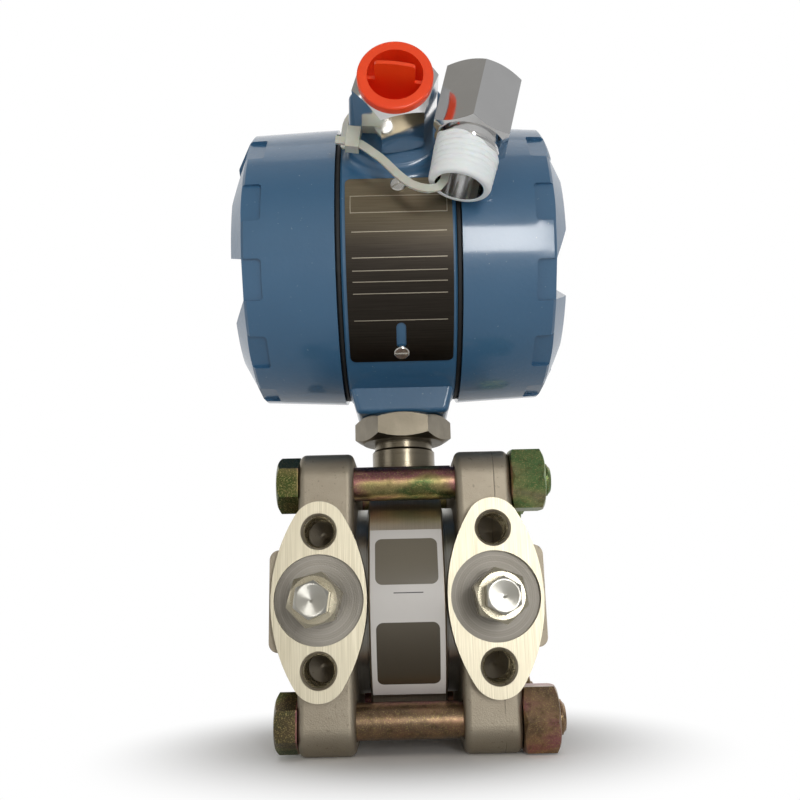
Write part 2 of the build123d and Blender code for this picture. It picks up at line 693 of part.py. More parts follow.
# -------------------------------------------------------- inside the housing
block = rod(block_radius, (deep_wall, 0, axis_z), block_thickness, ALONG_X)
block += rod(block_plug_radius, (-calibration_board_x, 0, axis_z), deep_wall + calibration_board_x, ALONG_X)
bar_x = deep_wall + block_thickness
bar = Pos(bar_x + bar_depth / 2, 0, axis_z) * Box(bar_depth, bar_length, bar_height)
terminal_y = [-terminal_pitch, 0, terminal_pitch]
for y in terminal_y:
    pocket = Box(bar_depth, terminal_pitch - bar_rib, bar_height + EXTRA)
    bar -= Pos(bar_x + bar_depth, y, axis_z) * pocket
block += bar
for y in terminal_y:
    screw_start = bar_x + bar_depth / 2 - terminal_screw_length
    block -= rod(terminal_screw_radius, (screw_start, y, axis_z), terminal_screw_length + EXTRA, ALONG_X)
for y in (-block_screw_y, block_screw_y):
    block -= rod(block_screw_radius, (deep_wall, y, block_screw_z), block_thickness, ALONG_X)
export_part(block, "terminal_block")

block_screw = slotted_screw(
    block_screw_head, block_screw_height, block_screw_radius, block_thickness + block_screw_grip
)
block_screws = Part()
for y in (-block_screw_y, block_screw_y):
    block_screws += Plane(origin=(bar_x, y, block_screw_z), z_dir=ALONG_X) * block_screw
export_part(block_screws, "block_screws")

terminal_screw = slotted_screw(
    terminal_head_radius, terminal_head_height, terminal_screw_radius, terminal_screw_length
)
terminal_screws = Part()
for y in terminal_y:
    terminal_screws += Plane(origin=(bar_x + bar_depth / 2, y, axis_z), z_dir=ALONG_X) * terminal_screw
export_part(terminal_screws, "terminal_screws")

stud_holes = [
    rod(post_stud_radius, (-barrel_end, y, z), barrel_end, ALONG_X) for y, z in post_spots
]
amplifier = rod(board_radius, (-amplifier_board_x, 0, axis_z), board_thickness, TO_LEFT)
board_top = Pos(-amplifier_board_x - board_thickness, 0, axis_z)
ON_BOARD = (Align.MAX, Align.CENTER, Align.CENTER)
amplifier += board_top * Pos(0, *transformer_place) * Box(*transformer_size, align=ON_BOARD)
amplifier += board_top * Pos(0, *processor_place) * Box(*processor_size, align=ON_BOARD)
amplifier += board_top * Pos(0, *connector_place) * Box(*connector_size, align=ON_BOARD)
amplifier += board_top * rod(capacitor_radius, (0, *capacitor_place), capacitor_height, TO_LEFT)
amplifier -= stud_holes
export_part(amplifier, "amplifier_board")
calibration = rod(board_radius, (-calibration_board_x, 0, axis_z), board_thickness, TO_LEFT)
export_part(calibration - stud_holes, "calibration_board")

posts = Part()
for y, z in post_spots:
    post = rod(post_radius, (-wall_half, y, z), calibration_board_x - wall_half, TO_LEFT)
    post_gap = amplifier_board_x - calibration_board_x - board_thickness
    post += rod(post_radius, (-calibration_board_x - board_thickness, y, z), post_gap, TO_LEFT)
    post += rod(post_radius, (-amplifier_board_x - board_thickness, y, z), post_head, TO_LEFT)
    post += rod(post_stud_radius, (-wall_half, y, z), amplifier_board_x + board_thickness, TO_LEFT)
    posts += post
export_part(posts, "board_standoffs")

# ------------------------------------------------------------ conduit adapters
def adapter():
    """Hexagon adapter on Z: thread below z 0, hexagon with its bore above."""
    male = rod(npt_half_radius, (0, 0, -adapter_relief - adapter_male_length), adapter_male_length, ALONG_Z)
    end = -adapter_relief - adapter_male_length
    male = chamfer(circle_edges(male, npt_half_radius, Axis.Z, end), adapter_male_edge)
    relief = rod(adapter_relief_radius, (0, 0, -adapter_relief), adapter_relief, ALONG_Z)
    part = hex_bar(adapter_flats, adapter_hex_length, True, True) + relief + male
    part -= rod(adapter_through_radius, (0, 0, end - EXTRA), adapter_hex_length - end + 2 * EXTRA, ALONG_Z)
    bore_floor = adapter_hex_length - adapter_bore_depth
    part -= rod(adapter_bore_radius, (0, 0, bore_floor), adapter_bore_depth + EXTRA, ALONG_Z)
    return part


fixed_plane = Plane(origin=(0, -boss_face, boss_z), x_dir=ALONG_X, z_dir=TO_FRONT) * Rot(0, 0, adapter_turn)
export_part(fixed_plane * adapter(), "conduit_adapter")

boss_front = Vector(0, -boss_face, boss_z)
hang_axis = Vector(*hang_top) - Vector(*hang_mouth)
hang_plane = Plane(origin=boss_front + Vector(*hang_mouth), x_dir=ALONG_X, z_dir=hang_axis)
hang_place = hang_plane * Pos(0, 0, adapter_male_length + adapter_relief) * Rot(0, 0, hang_turn)
export_part(hang_place * adapter(), "loose_adapter")
# the tape covers the whole thread and folds over its end
male_end = -adapter_relief - adapter_male_length
male_tip_radius = npt_half_radius - adapter_male_edge
tape = turned([
    (npt_half_radius, -adapter_relief),
    (npt_half_radius + tape_thickness, -adapter_relief),
    (npt_half_radius + tape_end_thickness, male_end + adapter_male_edge),
    (male_tip_radius + tape_end_thickness, male_end - tape_end_thickness),
    (tape_end_radius, male_end - tape_end_thickness),
    (tape_end_radius, male_end),
    (male_tip_radius, male_end),
    (npt_half_radius, male_end + adapter_male_edge),
])
export_part(hang_place * tape, "thread_tape")

# orange plug: a cup with a web and a grip tab, pushed into the fixed adapter
plug_radius = adapter_bore_radius - plug_clearance
cup = turned([
    (0, -plug_depth),
    (plug_radius, -plug_depth),
    (plug_radius, 0),
    (plug_ring_radius, 0),
    (plug_ring_radius, plug_ring_height),
    (plug_inner_radius, plug_ring_height),
    (plug_inner_radius, -plug_depth + plug_floor),
    (0, -plug_depth + plug_floor),
])
cup = fillet(circle_edges(cup, plug_ring_radius, Axis.Z, plug_ring_height), plug_ring_height / 4)
web_depth = plug_depth - plug_floor
web = Pos(0, 0, -web_depth) * Box(2 * plug_inner_radius + plug_clearance, plug_web, web_depth, align=ON_BASE)
tab_side = plug_ring_height + plug_tab_height
tab_edge = Line((plug_tab_width / 2, -EXTRA), (plug_tab_width / 2, tab_side))
tab_edge += ThreePointArc(
    (plug_tab_width / 2, tab_side), (0, tab_side + plug_tab_crown), (-plug_tab_width / 2, tab_side)
)
tab_edge += Polyline([
    (-plug_tab_width / 2, tab_side),
    (-plug_tab_width / 2, -EXTRA),
    (plug_tab_width / 2, -EXTRA),
])
tab_face = make_face(tab_edge)
tab_face = fillet(tab_face.vertices().sort_by(Axis.Y)[-2:], plug_tab_corner)
tab = extrude(Plane.XZ * tab_face, plug_web / 2, both=True)
plug_place = Plane(origin=(0, -boss_face - adapter_hex_length, boss_z), x_dir=ALONG_X, z_dir=TO_FRONT)
export_part(plug_place * Rot(0, 0, -plug_turn) * (cup + web + tab), "conduit_plug")

# nylon tie: a strap from the head, through the loose adapter and back round the boss
strap_path = Spline([boss_front + Vector(*spot) for spot in tie_path])
strap_sections = []
for step in range(tie_steps + 1):
    spot = strap_path @ (step / tie_steps)
    outward = Vector(spot.X, spot.Y, 0)
    section_plane = Plane(origin=spot, x_dir=outward, z_dir=strap_path % (step / tie_steps))
    strap_sections.append(section_plane * Rectangle(tie_thickness, tie_width))
strap = loft(strap_sections, ruled=True)
head_place = Pos(*(boss_front + Vector(*tie_head))) * Rot(0, tie_head_lean, 0)
head_block = head_place * Box(*tie_head_size)
tail_length = tie_head_size[0] / 2 + tie_tail
tail = Pos(-tail_length / 2, 0, -tie_tail_drop) * Box(tail_length, tie_thickness, tie_width)
export_part(head_block + head_place * tail + strap, "cable_tie")


# --------------------------------------------------------------------- covers
def end_cover():
    """Cover on Z: open at z 0, closed outer end with driving lugs.

    Each of the six radial slots has one upright wall, which a bar pushes to
    unscrew the cover, and one ramp, over which the bar rides the other way.
    """
    slot_floor = cover_end - cover_edge
    lug_top = cover_lug_top - cover_edge
    rim_radius = cover_end_radius
    shell = turned([
        (0, slot_floor - cover_wall),
        (cover_bore_radius, slot_floor - cover_wall),
        (cover_bore_radius, 0),
        (cover_radius, 0),
        (rim_radius, slot_floor - cover_rim_edge),
        (rim_radius - cover_rim_edge, slot_floor),
        (0, slot_floor),
    ])
    lugs = turned([
        (lug_hub_radius, slot_floor - EXTRA),
        (lug_foot_radius, slot_floor - EXTRA),
        (lug_foot_radius, slot_floor),
        (lug_crest_radius, lug_top),
        (lug_hub_radius, lug_top),
    ])
    lugs = fillet(circle_edges(lugs, lug_crest_radius, Axis.Z, lug_top), lug_round)
    half = slot_width / 2
    rise = lug_top - slot_floor
    slot_outline = Polyline([
        (-half - slot_ramp * (rise + EXTRA) / rise, lug_top + EXTRA),
        (-half, slot_floor),
        (half, slot_floor),
        (half, lug_top + EXTRA),
    ], close=True)
    slot_tool = extrude(Plane.YZ * make_face(slot_outline), cover_radius)
    for index in range(slot_count):
        lugs -= Rot(0, 0, index * 360 / slot_count) * slot_tool
    cover = shell + lugs

    notch_length = cover_end - notch_start + EXTRA
    notch_tool = Box(2 * notch_depth, notch_width, notch_length, align=ON_BASE)
    notch_tool = fillet(notch_tool.edges().filter_by(Axis.X).sort_by(Axis.Z)[:2], notch_round)
    notch_tool = Pos(cover_end_radius + notch_depth / 5, 0, notch_start - cover_edge) * notch_tool
    for index in range(notch_count):
        cover -= Rot(0, 0, index * 360 / notch_count) * notch_tool
    return cover


cover_shape = end_cover()
right_plane = Plane(origin=(cover_edge, 0, axis_z), x_dir=ALONG_Y, z_dir=ALONG_X)
left_plane = Plane(origin=(-cover_edge, 0, axis_z), x_dir=TO_FRONT, z_dir=TO_LEFT)
export_part(right_plane * Rot(0, 0, slot_angle_right) * cover_shape, "cover_right")
export_part(left_plane * Rot(0, 0, slot_angle_left) * cover_shape, "cover_left")

ring_width = cover_edge - shoulder
ring_section = RectangleRounded(ring_outer - ring_inner, ring_width, ring_width / 3)
ring_face = Plane.XZ * Pos((ring_outer + ring_inner) / 2, -ring_width / 2) * ring_section
cover_ring = revolve(ring_face, Axis.Z)
export_part(right_plane * cover_ring, "cover_o_ring_right")
export_part(left_plane * cover_ring, "cover_o_ring_left")
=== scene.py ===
"""Looks of the differential pressure transmitter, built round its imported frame.

Metres, origin in the middle of the front bolt pattern, -Y to the front, +Z up.
"""

import math

import bpy
import numpy as np
from mathutils import Matrix, Vector


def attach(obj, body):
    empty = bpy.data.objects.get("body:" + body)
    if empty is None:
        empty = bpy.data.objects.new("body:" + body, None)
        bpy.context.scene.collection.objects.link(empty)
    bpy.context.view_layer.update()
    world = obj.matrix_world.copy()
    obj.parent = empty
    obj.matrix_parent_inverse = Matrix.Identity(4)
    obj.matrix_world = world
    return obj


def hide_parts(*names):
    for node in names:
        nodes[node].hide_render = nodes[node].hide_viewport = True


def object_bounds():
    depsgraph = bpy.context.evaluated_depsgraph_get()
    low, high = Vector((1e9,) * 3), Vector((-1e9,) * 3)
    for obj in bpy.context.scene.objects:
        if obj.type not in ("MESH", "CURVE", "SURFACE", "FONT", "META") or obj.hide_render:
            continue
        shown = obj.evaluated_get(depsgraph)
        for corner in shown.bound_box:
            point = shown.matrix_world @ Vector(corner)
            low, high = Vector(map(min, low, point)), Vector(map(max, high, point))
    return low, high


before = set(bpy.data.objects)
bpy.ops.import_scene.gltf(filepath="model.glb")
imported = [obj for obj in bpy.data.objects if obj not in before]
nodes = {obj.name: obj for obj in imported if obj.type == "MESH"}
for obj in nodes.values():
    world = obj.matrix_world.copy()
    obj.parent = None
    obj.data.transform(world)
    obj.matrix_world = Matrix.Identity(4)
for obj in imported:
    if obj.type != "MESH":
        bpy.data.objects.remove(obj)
cad_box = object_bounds()

MM = 0.001
MIDDLE_Y = 43 * MM           # middle of the sensor module, behind the origin
COVER_Z = 124 * MM           # height of the cover axis
PORT_X = 27 * MM             # process ports, left and right
TAP_Z = 20.65 * MM           # tapped holes above and below a port
OVAL_Y = 43 * MM             # oval faces, before and behind the middle
RECESS_Y = 41.4 * MM         # floor of the port recess, from the middle
RECESS_RADIUS = 13.75 * MM
SEAM_X = 28.6 * MM           # parting line of the castings
MODULE_BAND_X = 12 * MM      # half width of the band of the module
NECK_Z = 41.5 * MM           # foot of the neck
CLAMP_X = 34.5 * MM          # bolt heads lie left of it, nuts right of it
PLATE_RADIUS = 52.35 * MM    # outside of the nameplate, round the cover axis
PLATE_X = 0.2 * MM           # middle of the nameplate
LABEL_RADIUS = 40.2 * MM     # outside of the label, round the module axis


# --------------------------------------------------------------- finish maker
class Graph:
    """Node tree with short ways to do arithmetic, noise and colour mixing."""

    def __init__(self, tree, coordinates):
        self.tree = tree
        self.place = tree.nodes.new("ShaderNodeTexCoord").outputs[coordinates]
        split = self.add("ShaderNodeSeparateXYZ", self.place)
        self.x, self.y, self.z = split.outputs

    def feed(self, socket, value):
        """Link a socket, or set it when the value is a plain number or colour."""
        if isinstance(value, bpy.types.NodeSocket):
            self.tree.links.new(value, socket)
        elif value is not None:
            socket.default_value = value

    def add(self, kind, *values, **settings):
        """New node with its settings, its first inputs fed in order."""
        made = self.tree.nodes.new(kind)
        for key, value in settings.items():
            setattr(made, key, value)
        for socket, value in zip(made.inputs, values):
            self.feed(socket, value)
        return made

    def calc(self, operation, a, b=None, c=None):
        """One step of arithmetic."""
        return self.add("ShaderNodeMath", a, b, c, operation=operation).outputs[0]

    def vector(self, x, y, z):
        """Vector out of three numbers."""
        return self.add("ShaderNodeCombineXYZ", x, y, z).outputs[0]

    def noise(self, scale, detail=2.0, stretch=(1, 1, 1), at=None, rough=0.5):
        """Noise from 0 to 1; scale in features a metre, stretched by axis."""
        mapped = self.add("ShaderNodeMapping", self.place if at is None else at)
        mapped.inputs["Scale"].default_value = stretch
        made = self.tree.nodes.new("ShaderNodeTexNoise")
        self.feed(made.inputs["Vector"], mapped.outputs[0])
        made.inputs["Scale"].default_value = scale
        made.inputs["Detail"].default_value = detail
        made.inputs["Roughness"].default_value = rough
        return made.outputs["Fac"]

    def rise(self, value, edge, soft):
        """0 below an edge, 1 above it, smooth over the soft width."""
        made = self.add("ShaderNodeMapRange", value, interpolation_type="SMOOTHSTEP")
        made.inputs["From Min"].default_value = edge - soft / 2
        made.inputs["From Max"].default_value = edge + soft / 2
        return made.outputs[0]

    def band(self, value, low, high, soft):
        """1 between two edges, 0 outside."""
        return self.calc("SUBTRACT", self.rise(value, low, soft), self.rise(value, high, soft))

    def spread(self, value, low, high):
        """Stretch a number that runs from 0 to 1 to run from low to high."""
        return self.calc("MULTIPLY_ADD", value, high - low, low)

    def mix(self, share, a, b):
        """Colour between two colours."""
        made = self.tree.nodes.new("ShaderNodeMix")
        made.data_type = "RGBA"
        self.feed(made.inputs[0], share)
        self.feed(made.inputs[6], a)
        self.feed(made.inputs[7], b)
        return made.outputs[2]

    def ramp(self, value, stops):
        """Colours along a number, from (position, colour) stops."""
        made = self.add("ShaderNodeValToRGB", value)
        line = made.color_ramp.elements
        for index, (position, color) in enumerate(stops):
            stop = line[index] if index < 2 else line.new(position)
            stop.position = position
            stop.color = color
        return made.outputs["Color"]

    def around(self, height):
        """Angle round the X axis at a height in the middle: 0 in front, up positive."""
        front = self.calc("MULTIPLY_ADD", self.y, -1.0, MIDDLE_Y)
        return self.calc("ARCTAN2", self.calc("SUBTRACT", self.z, height), front)

    def without(self, value):
        """1 minus a number."""
        return self.calc("SUBTRACT", 1.0, value)

    def times(self, a, b):
        """Product of two numbers."""
        return self.calc("MULTIPLY", a, b)

    def radius(self, a, b):
        """Distance from an axis, from two offsets."""
        return self.calc("SQRT", self.calc("MULTIPLY_ADD", a, a, self.times(b, b)))


class Finish(Graph):
    """A procedural finish: a Principled shader fed by nodes on Object coordinates."""

    def __init__(self, name, metal=0.0, rough=0.5, **constants):
        self.material = bpy.data.materials.new(name)
        self.material.use_nodes = True
        super().__init__(self.material.node_tree, "Object")
        self.shader = self.tree.nodes["Principled BSDF"]
        self.shader.inputs["Metallic"].default_value = metal
        self.shader.inputs["Roughness"].default_value = rough
        for socket, value in constants.items():
            self.shader.inputs[socket.replace("_", " ")].default_value = value

    def turned_about_ports(self, share):
        """Stretch highlights square to turning marks that run round a port axis."""
        port = self.times(self.calc("SIGN", self.x), PORT_X)
        aside = self.calc("SUBTRACT", self.x, port)
        tangent = self.vector(self.times(self.z, -1.0), 0.0, aside)
        unit = self.add("ShaderNodeVectorMath", tangent, operation="NORMALIZE").outputs[0]
        self.feed(self.shader.inputs["Tangent"], unit)
        self.feed(self.shader.inputs["Anisotropic"], share)

    def wear(self, color=None, rough=None, metal=None, height=None, depth=0.1 * MM, strength=1.0):
        """Feed colour, roughness, metal and a bump of the given depth to the shader."""
        self.feed(self.shader.inputs["Base Color"], color)
        self.feed(self.shader.inputs["Roughness"], rough)
        self.feed(self.shader.inputs["Metallic"], metal)
        if height is not None:
            made = self.tree.nodes.new("ShaderNodeBump")
            made.inputs["Distance"].default_value = depth
            made.inputs["Strength"].default_value = strength
            self.feed(made.inputs["Height"], height)
            self.tree.links.new(made.outputs[0], self.shader.inputs["Normal"])
        return self.material


def rgb(red, green, blue):
    """Linear colour from display values of 0 to 255."""
    shares = np.array([red, green, blue]) / 255
    linear = np.where(shares <= 0.04045, shares / 12.92, ((shares + 0.055) / 1.055) ** 2.4)
    return (*[float(value) for value in linear], 1.0)


# ------------------------------------------------------------------- finishes
def blue_enamel():
    """Glossy blue enamel over a casting, with faint orange peel and dust."""
    f = Finish("blue_enamel", rough=0.42, Coat_Weight=0.8, Coat_Roughness=0.11)
    cloud = f.noise(35, 3)
    color = f.mix(cloud, rgb(46, 92, 128), rgb(56, 102, 138))
    specks = f.rise(f.noise(900, 1), 0.78, 0.04)
    color = f.mix(f.times(specks, 0.35), color, rgb(150, 170, 180))
    peel = f.noise(650, 3)
    rough = f.spread(f.noise(120, 3), 0.36, 0.48)
    return f.wear(color, rough=rough, height=peel, depth=0.16 * MM, strength=0.45)


def flange_steel():
    """Bead-blasted casting with brushed oval faces and turned port recesses."""
    f = Finish("flange_steel", metal=1.0, rough=0.5)
    off_middle = f.calc("ABSOLUTE", f.calc("SUBTRACT", f.y, MIDDLE_Y))
    side = f.calc("SUBTRACT", f.calc("ABSOLUTE", f.x), PORT_X)
    from_port = f.radius(side, f.z)
    face = f.rise(off_middle, OVAL_Y - 0.1 * MM, 0.1 * MM)
    floor = f.band(off_middle, RECESS_Y - 0.2 * MM, RECESS_Y + 0.2 * MM, 0.1 * MM)
    turned = f.times(floor, f.without(f.rise(from_port, RECESS_RADIUS, 0.1 * MM)))

    cast = f.mix(f.noise(90, 4), rgb(150, 140, 124), rgb(176, 167, 150))
    pits = f.rise(f.noise(700, 3, rough=0.7), 0.66, 0.08)
    cast = f.mix(f.times(pits, 0.5), cast, rgb(118, 110, 98))
    seam = f.band(f.x, SEAM_X - 0.1 * MM, SEAM_X + 0.15 * MM, 0.12 * MM)
    seam = f.times(seam, f.rise(f.noise(60, 2), 0.42, 0.1))
    cast = f.mix(f.times(seam, 0.6), cast, rgb(105, 98, 88))

    strokes = f.noise(1.0, 2, stretch=(4200, 4200, 45))
    brushed = f.mix(strokes, rgb(176, 166, 138), rgb(250, 243, 222))
    rings = f.noise(1.0, 3, at=f.vector(f.times(from_port, 2600.0), f.noise(60, 2), 0.0))
    lathe = f.mix(rings, rgb(126, 121, 112), rgb(176, 171, 162))

    color = f.mix(face, cast, brushed)
    color = f.mix(turned, color, lathe)
    f.turned_about_ports(f.times(turned, 0.8))
    rough = f.calc("MULTIPLY_ADD", face, -0.04, 0.5)
    grain = f.noise(2600, 3, rough=0.6)
    height = f.times(grain, f.without(face))
    height = f.calc("MULTIPLY_ADD", f.times(strokes, 0.35), face, height)
    height = f.calc("MULTIPLY_ADD", f.times(rings, 0.5), turned, height)
    plain = f.without(f.calc("MAXIMUM", face, turned))
    height = f.calc("SUBTRACT", height, f.times(f.times(seam, plain), 0.8))
    return f.wear(color, rough=rough, height=height, depth=0.12 * MM, strength=0.7)


def module_steel():
    """Turned capsule: satin band, polished steps, and a polished neck with painted shade."""
    f = Finish("module_steel", metal=1.0, rough=0.35)
    from_middle = f.calc("ABSOLUTE", f.x)
    neck = f.rise(f.z, NECK_Z, 0.5 * MM)
    marks = f.noise(1.0, 3, at=f.vector(f.times(f.x, 3200.0), f.noise(25, 2), 0.0))
    marks_up = f.noise(1.0, 3, at=f.vector(f.times(f.z, 3200.0), f.noise(25, 2), 0.0))
    band = f.mix(marks, rgb(176, 165, 148), rgb(204, 194, 178))
    step = f.mix(marks, rgb(176, 175, 168), rgb(205, 204, 198))
    # painted shade: the neck is the same steel as the band, given a darker colour
    upper = f.mix(marks_up, rgb(108, 100, 86), rgb(142, 134, 118))
    color = f.mix(f.rise(from_middle, MODULE_BAND_X, 0.1 * MM), band, step)
    color = f.mix(neck, color, upper)
    rough = f.calc("MULTIPLY_ADD", neck, -0.1, 0.36)
    lathe = f.mix(neck, marks, marks_up)
    return f.wear(color, rough=rough, height=lathe, depth=0.06 * MM, strength=0.6)


def bright_steel():
    """Turned stainless bar with fine circular marks and soft stains."""
    f = Finish("bright_steel", metal=1.0, rough=0.28)
    color = f.mix(f.noise(120, 3), rgb(158, 150, 128), rgb(196, 189, 170))
    marks = f.noise(1.0, 2, at=f.vector(f.times(f.y, 3000.0), f.noise(80, 2), 0.0))
    rough = f.spread(f.noise(300, 2), 0.2, 0.34)
    return f.wear(color, rough=rough, height=marks, depth=0.05 * MM, strength=0.5)


def stem_steel():
    """Vent stem: mirror-turned face, bright flats."""
    f = Finish("stem_steel", metal=1.0, rough=0.2)
    color = f.mix(f.noise(200, 2), rgb(172, 170, 162), rgb(200, 198, 190))
    f.turned_about_ports(0.92)
    rough = f.spread(f.noise(300, 2), 0.26, 0.36)
    return f.wear(color, rough=rough, height=f.noise(1500, 2), depth=0.02 * MM, strength=0.3)


def yellow_zinc():
    """Yellow passivated zinc: gold, rose and green in drifting stains."""
    f = Finish("yellow_zinc", metal=1.0, rough=0.32)
    drift = f.noise(85, 2, stretch=(0.45, 1, 1))
    color = f.ramp(drift, [
        (0.30, rgb(138, 122, 78)),
        (0.42, rgb(84, 104, 62)),
        (0.50, rgb(158, 142, 98)),
        (0.57, rgb(156, 106, 106)),
        (0.66, rgb(128, 86, 94)),
        (0.78, rgb(112, 126, 88)),
    ])
    heads = f.rise(f.times(f.x, -1.0), CLAMP_X, 0.5 * MM)
    color = f.mix(f.times(heads, 0.75), color, rgb(64, 76, 40))
    lower = f.rise(f.times(f.z, -1.0), 0.0, 1 * MM)
    shanks_and_nuts = f.rise(f.x, -CLAMP_X, 0.5 * MM)
    color = f.mix(f.times(f.times(lower, shanks_and_nuts), 0.4), color, rgb(176, 118, 118))
    nuts = f.rise(f.x, CLAMP_X, 0.5 * MM)
    upper = f.rise(f.z, 0.0, 1 * MM)
    color = f.mix(f.times(f.times(nuts, upper), 0.5), color, rgb(116, 156, 100))
    sparkle = f.rise(f.noise(2400, 2), 0.58, 0.08)
    color = f.mix(f.times(sparkle, 0.4), color, rgb(214, 192, 128))
    grime = f.noise(600, 4, rough=0.7)
    color = f.mix(f.times(f.rise(grime, 0.58, 0.2), 0.45), color, rgb(70, 60, 44))
    rough = f.spread(f.noise(260, 3), 0.22, 0.42)
    return f.wear(color, rough=rough, height=grime, depth=0.08 * MM, strength=0.5)


def neck_nut_steel():
    """Lock nut: satin steel with a warm cast."""
    f = Finish("neck_nut_steel", metal=1.0, rough=0.34)
    color = f.mix(f.noise(150, 3), rgb(116, 108, 94), rgb(152, 144, 128))
    rough = f.spread(f.noise(240, 2), 0.26, 0.42)
    return f.wear(color, rough=rough, height=f.noise(1200, 3), depth=0.06 * MM, strength=0.5)


def nameplate_painted_reflection():
    """Etched steel sheet with ruled lines, a framed field and a painted reflection."""
    f = Finish("nameplate_painted_reflection", metal=1.0, rough=0.38)
    arc = f.times(f.around(COVER_Z), PLATE_RADIUS)
    across = f.calc("ABSOLUTE", f.calc("SUBTRACT", f.x, PLATE_X))
    strokes = f.noise(1.0, 2, stretch=(60, 4200, 4200))
    # painted reflection: the satin sheet is painted light gold at the top and dark at the bottom,
    # blended along the arc
    upper = f.mix(strokes, rgb(132, 120, 98), rgb(174, 162, 136))
    lower = f.mix(strokes, rgb(44, 40, 36), rgb(66, 61, 55))
    color = f.mix(f.rise(arc, 2 * MM, 34 * MM), lower, upper)

    def field(low, high, half_width):
        """1 inside a rectangle on the plate; heights along the arc, in mm."""
        return f.times(f.band(arc, low * MM, high * MM, 0.08 * MM),
                       f.without(f.rise(across, half_width * MM, 0.1 * MM)))

    rule_heights = (-7.6, -16.1, -20.3, -23.9, -27.8, -37.0)
    marks = f.calc("SUBTRACT", field(-1.2, 5.1, 16.0), field(-0.9, 4.8, 15.7))
    for height in rule_heights:
        marks = f.calc("ADD", marks, field(height - 0.13, height + 0.13, 15.6))
    color = f.mix(f.times(marks, 0.85), color, rgb(188, 180, 162))
    height = f.calc("MULTIPLY_ADD", marks, -1.0, f.times(strokes, 0.25))
    rough = f.spread(f.noise(90, 3), 0.3, 0.44)
    return f.wear(color, rough=rough, height=height, depth=0.06 * MM, strength=0.6)


def label_film():
    """Grey printed film with two dark fields, wrapped round the module."""
    f = Finish("label_film", rough=0.34, Coat_Weight=0.2, Coat_Roughness=0.2)
    arc = f.times(f.around(0.0), LABEL_RADIUS)

    def field(low, high, half_width, corner):
        """1 inside a rounded rectangle; heights along the arc, in mm.

        It is where the distance to a rectangle smaller by the corner radius
        stays under that radius.
        """
        from_middle = f.calc("ABSOLUTE", f.calc("SUBTRACT", arc, (low + high) / 2 * MM))
        a = f.calc("SUBTRACT", f.calc("ABSOLUTE", f.x), (half_width - corner) * MM)
        b = f.calc("SUBTRACT", from_middle, ((high - low) / 2 - corner) * MM)
        gap = f.radius(f.calc("MAXIMUM", a, 0.0), f.calc("MAXIMUM", b, 0.0))
        return f.without(f.rise(gap, corner * MM, 0.12 * MM))

    dark = f.calc("ADD", field(4.1, 19.1, 9.8, 2.2), field(-28.4, -7.3, 9.8, 2.2))
    line = f.times(f.band(arc, 1.45 * MM, 1.75 * MM, 0.08 * MM),
                   f.band(f.x, -4.2 * MM, 5.0 * MM, 0.1 * MM))
    paper = f.mix(f.noise(60, 3), rgb(206, 202, 198), rgb(218, 215, 211))
    ink = f.mix(f.rise(arc, -4 * MM, 40 * MM), rgb(62, 53, 38), rgb(112, 105, 90))
    color = f.mix(dark, paper, ink)
    color = f.mix(line, color, rgb(40, 38, 36))
    rough = f.spread(f.noise(200, 2), 0.28, 0.4)
    return f.wear(color, rough=rough, height=f.noise(1500, 2), depth=0.02 * MM, strength=0.3)


def mirror_plating():
    """Bright nickel-chrome plating with faint drag marks."""
    f = Finish("mirror_plating", metal=1.0, rough=0.08)
    color = f.mix(f.noise(80, 3), rgb(222, 222, 222), rgb(240, 240, 240))
    marks = f.noise(500, 4, rough=0.65)
    rough = f.spread(marks, 0.04, 0.17)
    return f.wear(color, rough=rough, height=f.noise(160, 3), depth=0.15 * MM, strength=0.25)


def orange_polythene():
    """Glossy orange moulded polythene."""
    f = Finish("orange_polythene", rough=0.32, Subsurface_Weight=0.12, Subsurface_Scale=0.003)
    f.shader.inputs["Subsurface Radius"].default_value = (1.0, 0.3, 0.1)
    color = f.mix(f.noise(70, 2), rgb(246, 66, 20), rgb(255, 82, 30))
    rough = f.spread(f.noise(400, 2), 0.26, 0.4)
    return f.wear(color, rough=rough, height=f.noise(700, 3), depth=0.05 * MM, strength=0.4)


def black_rubber():
    """Matt black rubber with a trace of dust."""
    f = Finish("black_rubber", rough=0.6)
    color = f.mix(f.noise(400, 3), rgb(18, 18, 19), rgb(38, 38, 38))
    return f.wear(color, height=f.noise(2500, 2), depth=0.04 * MM, strength=0.4)


def natural_nylon():
    """Milky natural nylon."""
    f = Finish("natural_nylon", rough=0.36, Subsurface_Weight=0.4, Subsurface_Scale=0.002)
    color = f.mix(f.noise(300, 2), rgb(192, 194, 180), rgb(212, 213, 202))
    return f.wear(color, height=f.noise(1500, 2), depth=0.03 * MM, strength=0.4)


def thread_seal_tape():
    """White film with folds that run across the thread of the hanging adapter, with painted shade
    in the fold creases.
    """
    f = Finish("thread_seal_tape", rough=0.45, Subsurface_Weight=0.15, Subsurface_Scale=0.001)
    folds = f.noise(1.0, 4, stretch=(260, 260, 1300), rough=0.65)
    # painted shade: the colour follows the fold height and is a touch darker in the creases
    color = f.mix(folds, rgb(244, 245, 246), rgb(255, 255, 255))
    return f.wear(color, height=folds, depth=0.4 * MM, strength=0.6)


def screw_steel():
    """Bright small screws."""
    f = Finish("screw_steel", metal=1.0, rough=0.25)
    color = f.mix(f.noise(500, 3), rgb(190, 188, 182), rgb(228, 226, 220))
    return f.wear(color, height=f.noise(2500, 2), depth=0.03 * MM, strength=0.5)


